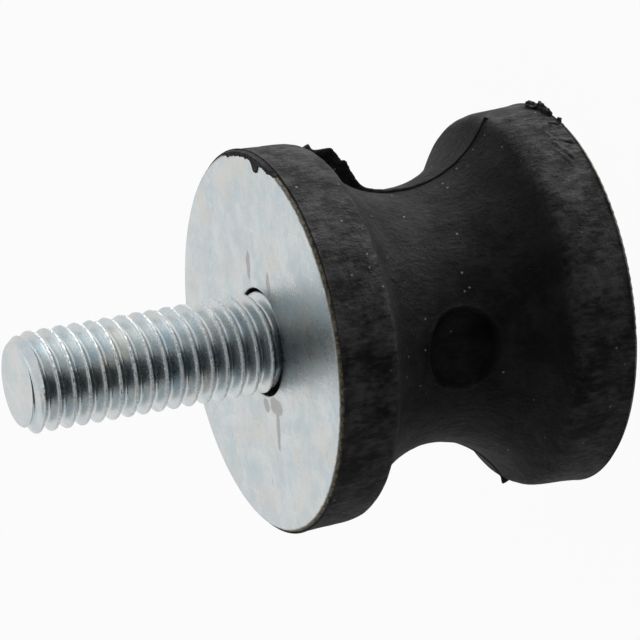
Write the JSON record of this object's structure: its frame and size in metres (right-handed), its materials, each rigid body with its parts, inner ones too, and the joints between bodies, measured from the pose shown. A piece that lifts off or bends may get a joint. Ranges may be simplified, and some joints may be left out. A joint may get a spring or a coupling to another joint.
{
  "type": "bobbin vibration mount",
  "caption": "Waisted round rubber vibration mount with bonded steel end plates, a threaded stud on one plate and a tapped bush in the other.",
  "frame": {"origin": "centre of the rear plate's outer face, on which the mount stands", "axes": "+Z along the axis, from the rear plate through the front plate to the tip of the stud; the mould halves met in the XZ plane and the round mould mark faces -Y"},
  "size_m": [0.03, 0.03, 0.045],
  "materials": {
    "rubber": "matte black moulded rubber with a fine streaky grain",
    "plate_zinc": "bright zinc plating on rolled steel, finely scratched and mottled",
    "stud_zinc": "bright zinc plating on a rolled thread"
  },
  "bodies": {
    "root": {"rubber_body": "rubber", "front_plate": "plate_zinc", "stud": "stud_zinc", "rear_plate": "plate_zinc", "threaded_bush": "stud_zinc"}
  },
  "joints": []
}
